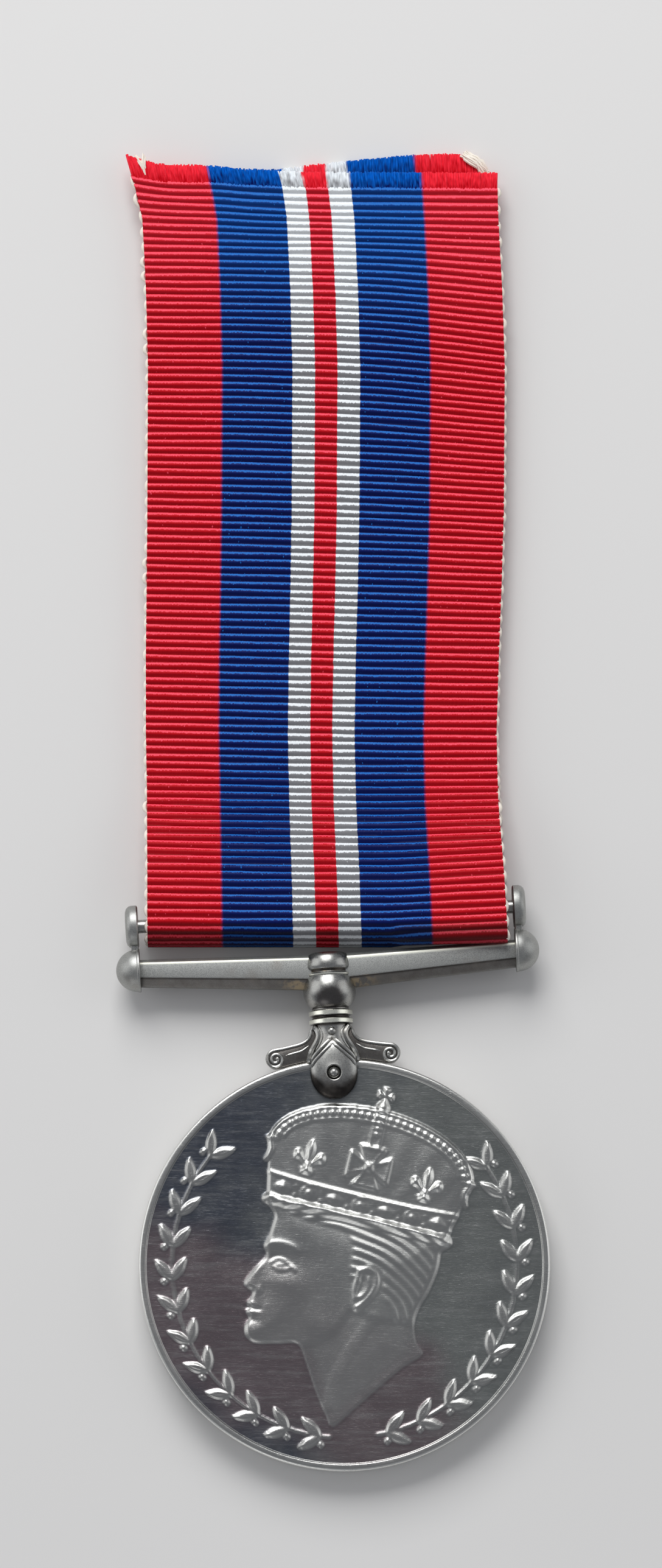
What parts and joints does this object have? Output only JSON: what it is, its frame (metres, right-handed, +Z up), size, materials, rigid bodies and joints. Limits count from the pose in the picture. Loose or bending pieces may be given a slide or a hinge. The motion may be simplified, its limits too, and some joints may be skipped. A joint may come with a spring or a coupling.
{
  "type": "single round service medal on a folded striped ribbon",
  "caption": "Round medal with a raised crowned head, hung by a claw and scrolled straight bar from a folded red, blue and white silk ribbon, lying face up.",
  "frame": {"origin": "centre of the whole object's footprint, on the surface that it lies on", "axes": "+Y along the ribbon from the medal to the cut ends, +Z up out of the medal's face, +X to the viewer's right"},
  "size_m": [0.0381, 0.1182, 0.0055],
  "materials": {
    "medal_disc": "dark toned cupro-nickel, satin",
    "suspender": "lightly toned cupro-nickel, satin",
    "claw_pin": "toned cupro-nickel, satin",
    "ribbon": "ribbed silk, red and blue with white lines"
  },
  "bodies": {
    "root": {"medal_disc": "medal_disc", "suspender": "suspender", "claw_pin": "claw_pin", "ribbon": "ribbon"}
  },
  "joints": []
}
